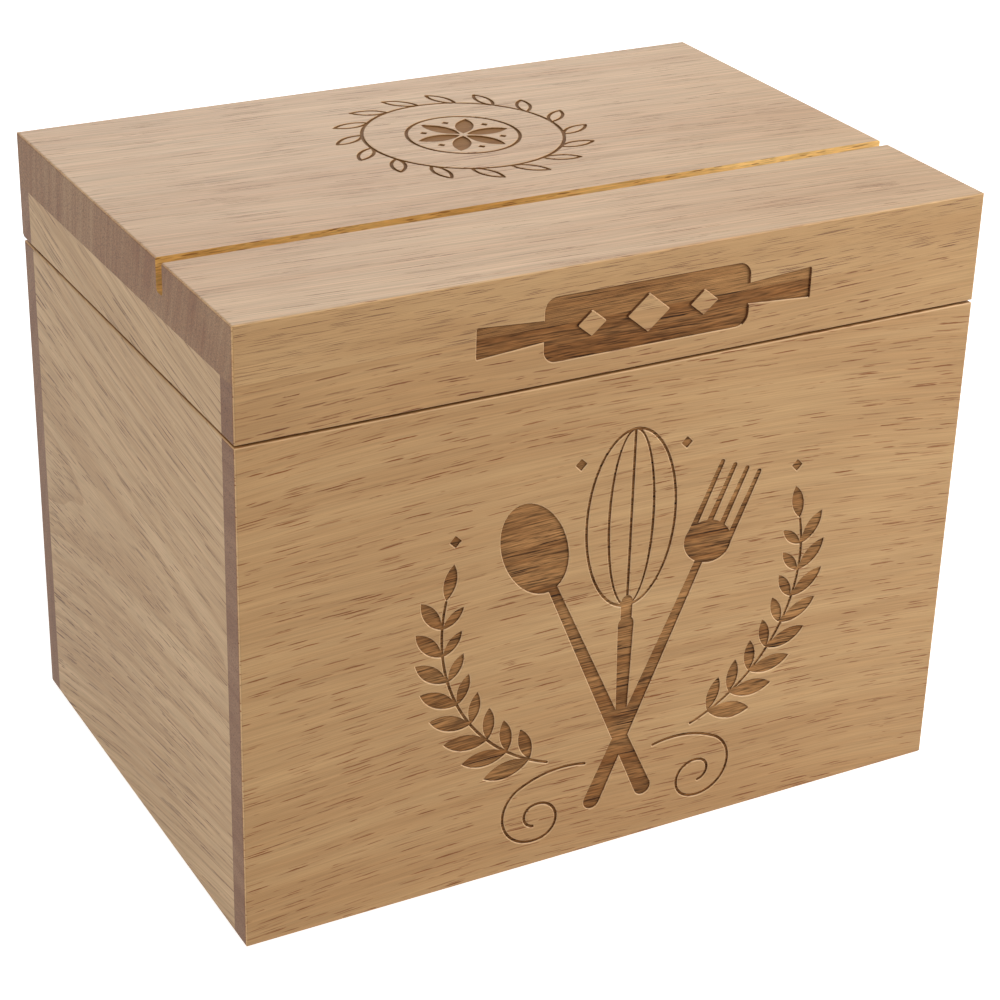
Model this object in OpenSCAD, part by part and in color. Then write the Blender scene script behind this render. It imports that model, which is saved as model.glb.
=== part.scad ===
// Recipe card box of plain oiled hardwood: a glued base of thin panels, and a hinged
// lid whose thick top board carries a slot that holds a card upright.
// X runs along the width, the front faces -Y and the box stands on Z = 0.

/* [Box] */
// Outer width, left to right
box_w = 184; // [160:1:240]
// Outer depth of the lid, front to back
lid_d = 129; // [115:1:180]
// Height of the base panels
base_h = 122.4; // [100:0.1:180]
// Thickness of the base panels and of the lid rails
wall = 6.4; // [6:0.1:9]
// Rounding of the sanded outer edges
ease = 0.5; // [0.2:0.1:0.8]
// Rounding of the base's bottom edges
foot_r = 1; // [0.4:0.1:2]

/* [Bottom panel] */
// Thickness of the bottom panel
bottom_t = 4; // [3:0.1:6]
// Height of the bottom panel above the table
bottom_lift = 4; // [3:0.1:10]
// Depth of the groove that holds the bottom panel
groove_d = 2.6; // [1.6:0.1:3.4]
// Play between the bottom panel's edge and the end of the groove
groove_play = 0.3; // [0.1:0.1:0.6]

/* [Lid] */
// Thickness of the top board
top_t = 13; // [11:0.1:18]
// Height of the lid rails under the top board
rail_h = 13.1; // [11:0.1:25]
// Gap between the closed lid and the base
lid_gap = 0.5; // [0.3:0.1:1]
// Overhang of the lid past the back of the base
back_lip = 1; // [0.8:0.1:1.4]
// Rounding of the lid's rear lower edge, which rolls past the base as the lid opens
heel_r = 2.4; // [2:0.1:3]

/* [Card slot] */
// Width of the card slot
slot_w = 3.5; // [3:0.1:6]
// Depth of the card slot
slot_d = 7.5; // [5:0.1:9]
// Distance from the front of the lid to the middle of the slot
slot_front = 38.5; // [25:0.5:60]
// Rounding of the slot's lower corners
slot_r = 1; // [0.4:0.1:1.4]

/* [Hinges] */
// Length of each hinge
hinge_l = 25; // [20:1:38]
// Distance from the side of the box to the end of each hinge
hinge_inset = 24; // [15:1:45]
// Number of knuckles on each hinge
knuckles = 5; // [3:2:7]
// Outer radius of the knuckles
knuckle_r = 1.4; // [1.2:0.05:1.6]
// Gap between neighbouring knuckles
knuckle_gap = 0.2; // [0.1:0.05:0.3]
// Thickness of the hinge leaves
leaf_t = 0.8; // [0.6:0.05:0.9]
// Rounding of the leaf's corners
leaf_r = 0.8; // [0.3:0.1:1.2]
// Wood left between the leaf's edge and the inner face of the lid rail
leaf_lip = 0.5; // [0.3:0.05:0.8]
// Radius of the hinge pin
pin_r = 0.65; // [0.5:0.05:0.75]
// Radial play of the pin in the knuckles
pin_play = 0.05; // [0.03:0.01:0.1]
// Radius of the peened heads at the pin's ends
pin_head_r = 1; // [0.9:0.05:1.2]
// Thickness of the peened heads
pin_head_t = 0.4; // [0.3:0.05:0.6]
// Distance of the pin's axis in from the back of the base
pin_inset = 0.45; // [0.3:0.05:0.5]
// Play between the hinge and the recess let into the wood for it
mortise_play = 0.25; // [0.15:0.05:0.4]

/* [Screws] */
// Number of screws in each leaf
leaf_screws = 2; // [2:1:3]
// Distance from the end of the leaf to the first screw
screw_end = 5; // [3.5:0.5:7]
// Length of the screws
screw_l = 7; // [5:0.5:9]
// Radius of the screw's shank
screw_r = 0.6; // [0.5:0.05:0.8]
// Radius of the countersunk head
head_r = 1.15; // [1:0.05:1.25]
// Height of the countersunk head
head_h = 0.55; // [0.4:0.05:0.7]
// Play between a screw and its hole
screw_play = 0.05; // [0.03:0.01:0.08]
// Width of the slot in the screw's head
driver_w = 0.35; // [0.25:0.05:0.5]

/* [Hidden] */
$fn = 48;
// Overshoot of a cutter past the face that it opens
cut = 1;

front_y = -lid_d / 2;
lid_back_y = lid_d / 2;
base_back_y = lid_back_y - back_lip;
lid_z = base_h + lid_gap;
top_z = lid_z + rail_h;
box_h = top_z + top_t;
inner_w = box_w - 2 * wall;
base_inner_d = base_back_y - front_y - 2 * wall;

// The pin lies midway in the gap between lid and base, just inside the back of the base
pin_y = base_back_y - pin_inset;
pin_z = base_h + lid_gap / 2;
hinge_x = box_w / 2 - hinge_inset - hinge_l / 2;
leaf_w = wall - back_lip - pin_inset - leaf_lip;
knuckle_pitch = hinge_l / knuckles;
screw_y = -(knuckle_r + knuckle_gap + leaf_w) / 2;
screw_pitch = (hinge_l - 2 * screw_end) / (leaf_screws - 1);
head_z = leaf_t - knuckle_r;
mortise_l = hinge_l + 2 * (pin_head_t + knuckle_gap + mortise_play);

front_wood = "#c29a68";
side_wood = "#b79f80";
top_wood = "#cdb192";
raw_wood = "#c9a878";
brass = "#c8a24a";
steel = "#b9a877";

// Carries a flat shape drawn in Y and Z along X, centred on the middle of the box
module along_x(length) {
    rotate([90, 0, 90]) linear_extrude(length, center = true) children();
}

// Carries a flat shape drawn in X and Z along Y, from y0 to y1
module along_y(y0, y1) {
    translate([0, y1, 0]) rotate([90, 0, 0]) linear_extrude(y1 - y0) children();
}

// What sanding takes off the corner of a flat shape that fills the first quadrant
module corner_waste(r) {
    difference() {
        translate([-cut, -cut]) square(r + cut);
        translate([r, r]) circle(r);
    }
}

// A rectangle from [x0, y0] to [x1, y1] with its lower and its upper corners rounded
module rounded_rect(x0, y0, x1, y1, low_r, high_r) {
    difference() {
        translate([x0, y0]) square([x1 - x0, y1 - y0]);
        translate([x0, y0]) corner_waste(low_r);
        translate([x1, y0]) mirror([1, 0]) corner_waste(low_r);
        translate([x0, y1]) mirror([0, 1]) corner_waste(high_r);
        translate([x1, y1]) rotate(180) corner_waste(high_r);
    }
}

// The outside of a glued-up block of boards, with its edges sanded round
module sanded_block(y0, y1, z0, z1, low_r) {
    intersection() {
        translate([0, 0, z0]) linear_extrude(z1 - z0)
            rounded_rect(-box_w / 2, y0, box_w / 2, y1, ease, ease);
        along_x(box_w) rounded_rect(y0, z0, y1, z1, low_r, ease);
        along_y(y0, y1) rounded_rect(-box_w / 2, z0, box_w / 2, z1, low_r, ease);
    }
}

module base_block() {
    sanded_block(front_y, base_back_y, 0, base_h, foot_r);
}

module lid_block() {
    sanded_block(front_y, lid_back_y, lid_z, box_h, ease);
}

// A board from [x0, y0, z0] to [x1, y1, z1]
module board(x0, x1, y0, y1, z0, z1) {
    translate([x0, y0, z0]) cube([x1 - x0, y1 - y0, z1 - z0]);
}

// The groove for the bottom panel, cut into all four walls and stopped short of their ends
module bottom_groove() {
    board(-inner_w / 2 - groove_d, inner_w / 2 + groove_d,
          front_y + wall - groove_d, base_back_y - wall + groove_d,
          bottom_lift, bottom_lift + bottom_t);
}

// The hinge recess in one edge: a seat for the leaf and a deeper trough for the barrel.
// It is drawn for the base, with the pin on the X axis and the inside of the box at -Y.
module mortise() {
    seat_w = leaf_w + mortise_play;
    trough_r = knuckle_r + mortise_play;
    translate([-mortise_l / 2, -seat_w, -knuckle_r])
        cube([mortise_l, seat_w, knuckle_r]);
    translate([-mortise_l / 2, -trough_r, -trough_r])
        cube([mortise_l, trough_r + pin_inset + back_lip + cut, trough_r]);
    for (i = [0 : leaf_screws - 1]) screw_place(i)
        cylinder(h = 2 * (screw_l + mortise_play), r = screw_r + screw_play, center = true);
}

// Puts a hinge shape in its place on both hinges, or on one side only
module at_hinges(sides = [-1, 1]) {
    for (side = sides) translate([side * hinge_x, pin_y, pin_z]) children();
}

module screw_place(i) {
    translate([(i - (leaf_screws - 1) / 2) * screw_pitch, screw_y, head_z]) children();
}

module base_front_panel() {
    color(front_wood) difference() {
        intersection() {
            base_block();
            board(-box_w / 2, box_w / 2, front_y, front_y + wall, 0, base_h);
        }
        bottom_groove();
    }
}

module base_back_panel() {
    color(front_wood) difference() {
        intersection() {
            base_block();
            board(-box_w / 2, box_w / 2, base_back_y - wall, base_back_y, 0, base_h);
        }
        bottom_groove();
        at_hinges() mortise();
    }
}

module base_side_panel(side) {
    x0 = side < 0 ? -box_w / 2 : inner_w / 2;
    color(side_wood) difference() {
        intersection() {
            base_block();
            board(x0, x0 + wall, front_y + wall, base_back_y - wall, 0, base_h);
        }
        bottom_groove();
    }
}

module base_bottom_panel() {
    reach = groove_d - groove_play;
    color(raw_wood)
        board(-inner_w / 2 - reach, inner_w / 2 + reach,
              front_y + wall - reach, base_back_y - wall + reach,
              bottom_lift, bottom_lift + bottom_t);
}

// The card slot: a saw kerf right across the board, with rounded lower corners
module card_slot() {
    y = front_y + slot_front;
    along_x(box_w + 2 * cut) difference() {
        translate([y - slot_w / 2, box_h - slot_d]) square([slot_w, slot_d + cut]);
        translate([y - slot_w / 2, box_h - slot_d]) corner_waste(slot_r);
        translate([y + slot_w / 2, box_h - slot_d]) mirror([1, 0]) corner_waste(slot_r);
    }
}

module lid_top_board() {
    color(top_wood) difference() {
        intersection() {
            lid_block();
            board(-box_w / 2, box_w / 2, front_y, lid_back_y, top_z, box_h);
        }
        card_slot();
    }
}

module lid_front_rail() {
    color(front_wood) intersection() {
        lid_block();
        board(-box_w / 2, box_w / 2, front_y, front_y + wall, lid_z, top_z);
    }
}

// The rear rail has the rounded heel and the recesses for the lid leaves
module lid_back_rail() {
    color(front_wood) difference() {
        intersection() {
            lid_block();
            board(-box_w / 2, box_w / 2, lid_back_y - wall, lid_back_y, lid_z, top_z);
        }
        along_x(box_w + 2 * cut) translate([lid_back_y, lid_z]) mirror([1, 0])
            corner_waste(heel_r);
        at_hinges() mirror([0, 0, 1]) mortise();
    }
}

module lid_side_rail(side) {
    x0 = side < 0 ? -box_w / 2 : inner_w / 2;
    color(side_wood) intersection() {
        lid_block();
        board(x0, x0 + wall, front_y + wall, lid_back_y - wall, lid_z, top_z);
    }
}

// The knuckles that one leaf carries, each with the tab that wraps it to the plate
module leaf_knuckles(first) {
    for (i = [first : 2 : knuckles - 1]) {
        x = -hinge_l / 2 + i * knuckle_pitch + knuckle_gap / 2;
        knuckle_l = knuckle_pitch - knuckle_gap;
        translate([x, 0, 0]) rotate([0, 90, 0]) cylinder(h = knuckle_l, r = knuckle_r);
        translate([x, -knuckle_r - knuckle_gap, -knuckle_r])
            cube([knuckle_l, knuckle_r + knuckle_gap, leaf_t]);
    }
}

// One leaf, drawn as it lies on the base: pin on the X axis, plate towards -Y and below
module leaf(first) {
    difference() {
        union() {
            translate([0, 0, -knuckle_r]) linear_extrude(leaf_t) difference() {
                translate([-hinge_l / 2, -leaf_w])
                    square([hinge_l, leaf_w - knuckle_r - knuckle_gap]);
                translate([-hinge_l / 2, -leaf_w]) corner_waste(leaf_r);
                translate([hinge_l / 2, -leaf_w]) mirror([1, 0]) corner_waste(leaf_r);
            }
            leaf_knuckles(first);
        }
        rotate([0, 90, 0])
            cylinder(h = hinge_l + 2 * cut, r = pin_r + pin_play, center = true);
        for (i = [0 : leaf_screws - 1]) screw_place(i) screw_hole();
    }
}

// The clearance hole and countersink for one screw
module screw_hole() {
    cylinder(h = 2 * leaf_t + cut, r = screw_r + screw_play, center = true);
    translate([0, 0, -head_h])
        cylinder(h = head_h, r1 = screw_r + screw_play, r2 = head_r + screw_play);
    cylinder(h = cut, r = head_r + screw_play);
}

// A countersunk wood screw with a slotted head, pointing down from the leaf's face
module screw() {
    tip_l = 2.5 * screw_r;
    difference() {
        rotate_extrude() polygon([
            [0, 0], [head_r, 0], [screw_r, -head_h],
            [screw_r, tip_l - screw_l], [0, -screw_l]
        ]);
        cube([3 * head_r, driver_w, head_h], center = true);
    }
}

// The pin with a peened head at each end, drawn as half its outline from end to end
module hinge_pin() {
    reach = hinge_l / 2 + knuckle_gap / 2;
    edge = pin_head_t / 2;
    end = [
        [pin_r, reach], [pin_head_r, reach], [pin_head_r, reach + edge],
        [pin_head_r - edge, reach + pin_head_t], [0, reach + pin_head_t]
    ];
    other_end = [for (i = [len(end) - 1 : -1 : 0]) [end[i][0], -end[i][1]]];
    rotate([0, 90, 0]) rotate_extrude() polygon(concat(end, other_end));
}

module base_leaf(side) {
    color(brass) at_hinges([side]) leaf(0);
}

module lid_leaf(side) {
    color(brass) at_hinges([side]) mirror([0, 0, 1]) leaf(1);
}

module pin(side) {
    color(steel) at_hinges([side]) hinge_pin();
}

module base_hinge_screws() {
    color(brass) at_hinges() for (i = [0 : leaf_screws - 1]) screw_place(i) screw();
}

module lid_hinge_screws() {
    color(brass) at_hinges() mirror([0, 0, 1])
        for (i = [0 : leaf_screws - 1]) screw_place(i) screw();
}

base_front_panel();
base_back_panel();
base_side_panel(-1);  // base_left_panel
base_side_panel(1);  // base_right_panel
base_bottom_panel();
lid_top_board();
lid_front_rail();
lid_back_rail();
lid_side_rail(-1);  // lid_left_rail
lid_side_rail(1);  // lid_right_rail
base_leaf(-1);  // left_hinge_base_leaf
base_leaf(1);  // right_hinge_base_leaf
lid_leaf(-1);  // left_hinge_lid_leaf
lid_leaf(1);  // right_hinge_lid_leaf
pin(-1);  // left_hinge_pin
pin(1);  // right_hinge_pin
base_hinge_screws();
lid_hinge_screws();
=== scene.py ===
"""Recipe card box of pale hardwood: finishes, engraving, studio stage and camera."""

import math

import bmesh
import bpy
from bpy.props import FloatProperty, FloatVectorProperty, PointerProperty
from mathutils import Matrix, Vector


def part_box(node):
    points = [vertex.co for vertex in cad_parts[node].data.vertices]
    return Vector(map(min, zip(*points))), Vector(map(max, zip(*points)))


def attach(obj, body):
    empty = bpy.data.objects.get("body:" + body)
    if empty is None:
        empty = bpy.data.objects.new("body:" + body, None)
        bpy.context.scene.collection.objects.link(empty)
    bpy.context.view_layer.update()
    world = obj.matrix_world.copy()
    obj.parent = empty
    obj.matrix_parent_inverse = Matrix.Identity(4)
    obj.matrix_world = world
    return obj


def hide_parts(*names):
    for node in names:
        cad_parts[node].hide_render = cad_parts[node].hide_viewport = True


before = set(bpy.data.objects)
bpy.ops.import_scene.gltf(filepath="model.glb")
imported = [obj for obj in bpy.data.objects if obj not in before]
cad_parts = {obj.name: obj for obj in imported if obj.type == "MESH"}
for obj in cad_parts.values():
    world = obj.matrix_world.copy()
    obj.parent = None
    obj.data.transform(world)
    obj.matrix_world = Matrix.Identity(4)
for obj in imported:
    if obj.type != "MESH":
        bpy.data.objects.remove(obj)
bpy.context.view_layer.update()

bl_info = {
    "name": "Recipe Card Box",
    "version": (1, 0, 0),
    "blender": (4, 5, 0),
    "location": "3D View > Sidebar > Card Box",
    "description": "Wood finishes, carved ornament, brass hinges and stage of a recipe card box",
    "category": "Object",
}

MM = 0.001
# How far the straight steps of a carved arc may lie off it, in millimetres
CHORD_ERROR = 0.02


def linear(code):
    """The linear colour of an sRGB hex code."""
    channels = [int(code[i:i + 2], 16) / 255 for i in (1, 3, 5)]
    return [c / 12.92 if c <= 0.04045 else ((c + 0.055) / 1.055) ** 2.4 for c in channels]


def colour(name, about, code):
    """A colour property whose default is an sRGB hex code."""
    return FloatVectorProperty(name=name, description=about, default=linear(code),
                               size=3, min=0, max=1, subtype="COLOR")


def length(name, about, mm):
    """A length property whose default is in millimetres."""
    return FloatProperty(name=name, description=about, default=mm * MM, min=0, precision=5,
                         subtype="DISTANCE", unit="LENGTH")


def share(name, about, default, most=1.0):
    """A plain number from nought to a given most."""
    return FloatProperty(name=name, description=about, default=default, min=0, max=most,
                         subtype="FACTOR")


def group(name, kind):
    """A pointer to a group of settings, described as the group itself is."""
    return PointerProperty(name=name, description=kind.__doc__.rstrip("."), type=kind)


def angle(name, about, degrees):
    """An angle property whose default is in degrees."""
    return FloatProperty(name=name, description=about, default=math.radians(degrees),
                         subtype="ANGLE", unit="ROTATION")


# Finishes


# Names and descriptions of the settings that every wood has
GROWTH = "Late growth", "Tint of the darker bands"
PORE = "Pore", "Tint of the open pores, which show as thin dashes"
FIGURE = "Figure", "How strongly the bands show"
FIBRE = "Fibre", "How strongly the fine fibre shows"
PORES = "Pores", "How strongly the pores show"
SHEEN = "Sheen", "How much light the surface mirrors; 0.5 is a full film of oil"


class PanelWood(bpy.types.PropertyGroup):
    """Front and back panels and rails: flat-sawn boards, sanded and oiled. Their golden cast is
    partly the wood and partly the warm light from the front, painted in.
    """
    face: colour("Face", "Pale early growth on the broad face", "#bb9668")
    # Edge colour: the narrow edges' own tone plus painted shade, darker and redder so the gap
    # between lid and base shows as a dark line
    edge: colour("Edge", "Long narrow edges", "#a67c4c")
    end: colour("End grain", "Sawn ends of the boards", "#8b684c")
    # Arris colour: partly sanded raw wood, partly a painted highlight, the pale line along the
    # eased corners and round the engraving
    arris: colour("Arris", "Sanded corners, where raw wood shows", "#dab689")
    growth: colour(*GROWTH, "#d5c0aa")
    pore: colour(*PORE, "#b08050")
    figure: share(*FIGURE, 0.5)
    fibre: share(*FIBRE, 0.13)
    pores: share(*PORES, 1.0)
    gloss: share("Roughness", "Roughness of the oiled surface", 0.52)
    sheen: share(*SHEEN, 0.28)


class SideWood(bpy.types.PropertyGroup):
    """Left and right panels and rails, greyer than the front and back ones, which carry the
    painted warm light.
    """
    face: colour("Face", "Pale early growth on the broad face", "#c7a882")
    # Edge colour: the narrow edges' own tone plus painted shade, darker and redder so the gap
    # between lid and base shows as a dark line
    edge: colour("Edge", "Long narrow edges", "#ad825c")
    end: colour("End grain", "Sawn ends of the boards", "#8b684c")
    # Arris colour: partly sanded raw wood, partly a painted highlight along the eased corners
    arris: colour("Arris", "Sanded corners, where raw wood shows", "#cfae80")
    growth: colour(*GROWTH, "#d3c5b6")
    pore: colour(*PORE, "#967352")
    figure: share(*FIGURE, 0.65)
    fibre: share(*FIBRE, 0.15)
    pores: share(*PORES, 1.0)
    gloss: share("Roughness", "Roughness of the oiled surface", 0.55)
    sheen: share(*SHEEN, 0.28)


class TopWood(bpy.types.PropertyGroup):
    """The thick top board: the palest board. Its pink cast is partly the wood and partly the cool
    light from above, painted in.
    """
    face: colour("Face", "Pale early growth on the broad face", "#d5b490")
    edge: colour("Edge", "Front and back edges of the board", "#ba925c")
    end: colour("End grain", "Sawn ends of the board", "#937252")
    # Arris colour: partly sanded raw wood, partly a painted highlight along the eased corners
    arris: colour("Arris", "Sanded corners, where raw wood shows", "#d3ac7e")
    growth: colour(*GROWTH, "#d9c1b0")
    pore: colour(*PORE, "#a07a59")
    figure: share(*FIGURE, 0.45)
    fibre: share(*FIBRE, 0.2)
    pores: share(*PORES, 1.0)
    gloss: share("Roughness", "Roughness of the oiled surface", 0.55)
    sheen: share(*SHEEN, 0.28)


class KerfWood(bpy.types.PropertyGroup):
    """Freshly sawn wood inside the card slot, which took more oil. Its colour is also lifted to
    offset the shade in the slot: painted light.
    """
    face: colour("Face", "Floor of the slot", "#ecc47c")
    edge: colour("Edge", "Walls of the slot", "#efc880")
    end: colour("End grain", "Sawn ends of the board", "#e6b265")
    arris: colour("Arris", "Corners of the slot", "#f2c67a")
    growth: colour(*GROWTH, "#d9bf96")
    pore: colour(*PORE, "#8f6b43")
    figure: share(*FIGURE, 0.9)
    fibre: share(*FIBRE, 0.28)
    pores: share(*PORES, 0.9)
    gloss: share("Roughness", "Roughness of the sawn surface", 0.65)
    sheen: share(*SHEEN, 0.2)


class CarvedWood(bpy.types.PropertyGroup):
    """Floor and walls of the engraving on both fronts, browned by the cutter's heat. The walls
    are darker still: partly scorch and partly painted shade, for the recess's dark outline.
    """
    face: colour("Face", "Browned floor of the recess", "#a2774a")
    # The wall colours are partly scorch and partly painted shade
    edge: colour("Edge", "Upper and lower walls of the recess", "#7c5533")
    end: colour("End grain", "Walls across the grain", "#734c2c")
    arris: colour("Arris", "Slanting walls of the recess", "#734c2c")
    growth: colour(*GROWTH, "#b29a80")
    pore: colour(*PORE, "#5c422e")
    fibre: share(*FIBRE, 0.65)
    figure: share(*FIGURE, 0.9)
    pores: share(*PORES, 1.0)
    gloss: share("Roughness", "Roughness of the cut surface", 0.75)
    sheen: share(*SHEEN, 0.15)


class LidCarvedWood(bpy.types.PropertyGroup):
    """Floor and walls of the shallow, lightly browned engraving on top of the lid."""
    face: colour("Face", "Browned floor of the recess", "#9c7144")
    edge: colour("Edge", "Walls along the grain", "#7d5734")
    end: colour("End grain", "Walls across the grain", "#7d5734")
    arris: colour("Arris", "Slanting walls of the recess", "#7d5734")
    growth: colour(*GROWTH, "#d6c6b2")
    pore: colour(*PORE, "#a08468")
    fibre: share(*FIBRE, 0.16)
    figure: share(*FIGURE, 0.7)
    pores: share(*PORES, 0.8)
    gloss: share("Roughness", "Roughness of the cut surface", 0.7)
    sheen: share(*SHEEN, 0.15)


class HingeMetal(bpy.types.PropertyGroup):
    """Small drawn-brass butt hinges with peened pins."""
    brass: colour("Brass", "Leaves, knuckles and screws", "#cda65c")
    pin: colour("Pin", "The pin and its peened heads", "#b5935a")
    gloss: share("Roughness", "Roughness of the drawn brass", 0.3)


class Carving(bpy.types.PropertyGroup):
    """Depth and line widths of the engraved ornament."""
    depth: length("Depth", "Depth of the recess", 0.45)
    lid_depth: length("Lid depth", "Depth of the finer ornament on top of the lid", 0.35)
    rim: length("Rim", "Pale chamfer along the edge of the recess", 0.22)
    lid_rim: length("Lid rim", "Chamfer along the finer ornament on top of the lid", 0.1)
    line: length("Line", "Width of the thin lines", 1.1)
    fine: length("Fine line", "Width of the finest lines, on the lid", 1.0)


class Stage(bpy.types.PropertyGroup):
    """Camera, lamps and floor."""
    camera: FloatVectorProperty(name="Camera", description="Where the camera stands",
                                default=(-0.2663, -0.4892, 0.3424), subtype="TRANSLATION")
    aim: FloatVectorProperty(name="Aim", description="The point that the camera looks at",
                             default=(0.0, -0.0084, 0.0656), subtype="TRANSLATION")
    roll: angle("Roll", "Turn of the camera about its line of sight", 1.6)
    lens: FloatProperty(name="Lens", description="Focal length of the camera",
                        default=91.4, min=1, subtype="DISTANCE_CAMERA", unit="CAMERA")
    floor: colour("Floor", "Pale studio floor", "#f0f0f0")
    key: FloatProperty(name="Key", description="Power of the lamp at the right front",
                       default=6.2, min=0, subtype="POWER", unit="POWER")
    fill: FloatProperty(name="Fill", description="Power of the lamp at the left",
                        default=3.5, min=0, subtype="POWER", unit="POWER")
    back: FloatProperty(name="Back", description="Power of the lamp behind the box",
                        default=3.5, min=0, subtype="POWER", unit="POWER")
    sky: share("Sky", "Strength of the even white light from all round", 0.27, 2.0)


class CardBox(bpy.types.PropertyGroup):
    """Everything about the box that a user would change."""
    panel_wood: group("Panel wood", PanelWood)
    side_wood: group("Side wood", SideWood)
    top_wood: group("Top wood", TopWood)
    kerf_wood: group("Kerf wood", KerfWood)
    carved_wood: group("Carved wood", CarvedWood)
    lid_carved_wood: group("Carved wood on top", LidCarvedWood)
    metal: group("Hinge metal", HingeMetal)
    carving: group("Carving", Carving)
    stage: group("Stage", Stage)


# Materials


def add(tree, kind, links=(), **settings):
    """Adds a node. Settings are its own options, and links its sockets by name or number."""
    made = tree.nodes.new(kind)
    for name, value in settings.items():
        setattr(made, name, value)
    for socket, value in dict(links).items():
        if isinstance(value, bpy.types.NodeSocket):
            tree.links.new(value, made.inputs[socket])
        else:
            made.inputs[socket].default_value = value
    return made


def new_material(name):
    """An empty node material, its shader and its tree."""
    material = bpy.data.materials.new(name)
    material.use_nodes = True
    return material, material.node_tree, material.node_tree.nodes["Principled BSDF"]


# How each kind of board was cut from the log, as the turn that brings its grain to X, its
# thickness to Y and its width to Z: a slope of the grain on the face and a dive into it.
def flat_board(slope, dive=0.7):
    """A board that stands along X."""
    return [math.radians(a) for a in (0, slope, dive)]


def cross_board(slope, dive=0.7):
    """A board that stands along Y."""
    return [math.radians(a) for a in (slope, 0, 90 + dive)]


def lying_board(slope, dive=0.7):
    """A board that lies flat, with its grain along X."""
    return [math.radians(a) for a in (90, slope, dive)]


def log_space(tree, place, turn, pith, reach, taper, sway, fan, bow):
    """Where a point lay in the log, in millimetres: along the grain, out from the pith and
    round it at the board's reach. The grain sways by a few millimetres over a hand's width,
    and the rings narrow by the taper, so a board cut near the pith shows them as arches.
    A fan draws the grain together along the board, and a bow bends all of it one way."""
    board = add(tree, "ShaderNodeMapping", {
        "Vector": place.outputs["Object"], "Scale": [1 / MM] * 3, "Rotation": turn,
        "Location": pith})
    drift = add(tree, "ShaderNodeMapping", {"Vector": board.outputs[0],
                                            "Scale": (1 / 120, 1 / 70, 1 / 55)})
    drift = add(tree, "ShaderNodeTexNoise", {"Vector": drift.outputs[0], "Scale": 1,
                                             "Detail": 2, "Roughness": 0.4})
    drift = add(tree, "ShaderNodeVectorMath", {0: drift.outputs["Color"], 1: (0.5, 0.5, 0.5)},
                operation="SUBTRACT")
    grain = add(tree, "ShaderNodeVectorMath", {0: drift.outputs[0], 1: (0, 0.15 * sway, sway),
                                               2: board.outputs[0]}, operation="MULTIPLY_ADD")
    part = add(tree, "ShaderNodeSeparateXYZ", {0: grain.outputs[0]})
    drawn = add(tree, "ShaderNodeMath", {0: part.outputs["X"], 1: fan}, operation="MULTIPLY")
    drawn = add(tree, "ShaderNodeMath", {0: drawn.outputs[0], 1: part.outputs["Z"],
                                         2: part.outputs["Z"]}, operation="MULTIPLY_ADD")
    bent = add(tree, "ShaderNodeMath", {0: part.outputs["X"], 1: bow}, operation="MULTIPLY")
    wide = add(tree, "ShaderNodeMath", {0: bent.outputs[0], 1: part.outputs["X"],
                                        2: drawn.outputs[0]}, operation="MULTIPLY_ADD")
    across = add(tree, "ShaderNodeCombineXYZ", {1: part.outputs["Y"], 2: wide.outputs[0]})
    radius = add(tree, "ShaderNodeVectorMath", {0: across.outputs[0]}, operation="LENGTH")
    out = add(tree, "ShaderNodeMath", {0: part.outputs["X"], 1: taper,
                                       2: radius.outputs["Value"]}, operation="MULTIPLY_ADD")
    turned = add(tree, "ShaderNodeMath", {0: wide.outputs[0], 1: part.outputs["Y"]},
                 operation="ARCTAN2")
    turned = add(tree, "ShaderNodeMath", {0: turned.outputs[0], 1: reach},
                 operation="MULTIPLY")
    log = add(tree, "ShaderNodeCombineXYZ", {0: part.outputs["X"], 1: out.outputs[0],
                                             2: turned.outputs[0]})
    return log.outputs[0]


def pores(tree, log, tone, dash, crowd):
    """Open pores: thin dashes on a face and dots on a sawn end, each of its own strength and
    some left out. A dash is its greatest length, and its width out from the pith and round
    it, up to twice the real width so that it shows. Crowd is the share that is kept, with
    more of them where the tone is dark."""
    # The dashes waver by about a tenth of a millimetre
    waver = add(tree, "ShaderNodeMapping", {"Vector": log,
                                            "Scale": (1 / 5, 1 / 0.9, 1 / 0.9)})
    waver = add(tree, "ShaderNodeTexNoise", {"Vector": waver.outputs[0], "Scale": 1,
                                             "Detail": 2})
    waver = add(tree, "ShaderNodeVectorMath", {0: waver.outputs["Color"], 1: (8, 0.5, 0.5),
                                               2: log}, operation="MULTIPLY_ADD")
    # Each cell of the pattern holds one dash that fills seven tenths of it
    fills = 0.7
    cell = add(tree, "ShaderNodeMapping", {"Vector": waver.outputs[0],
                                           "Scale": [fills / d for d in dash]})
    cell = add(tree, "ShaderNodeTexVoronoi", {"Vector": cell.outputs[0], "Scale": 1})
    inside = add(tree, "ShaderNodeMapRange", {0: cell.outputs["Distance"], 1: fills / 2,
                                              2: fills / 3})
    chance = add(tree, "ShaderNodeSeparateColor", {0: cell.outputs["Color"]})
    kept = add(tree, "ShaderNodeMath", {0: tone, 1: 0.5, 2: crowd - 0.25},
               operation="MULTIPLY_ADD")
    kept = add(tree, "ShaderNodeMath", {0: chance.outputs[0], 1: kept.outputs[0]},
               operation="LESS_THAN")
    strength = add(tree, "ShaderNodeMapRange", {0: chance.outputs[1], 3: 0.2})
    strength = add(tree, "ShaderNodeMath", {0: kept.outputs[0], 1: strength.outputs[0]},
                   operation="MULTIPLY")
    mask = add(tree, "ShaderNodeMath", {0: inside.outputs[0], 1: strength.outputs[0]},
               operation="MULTIPLY")
    return mask.outputs[0]


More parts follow.
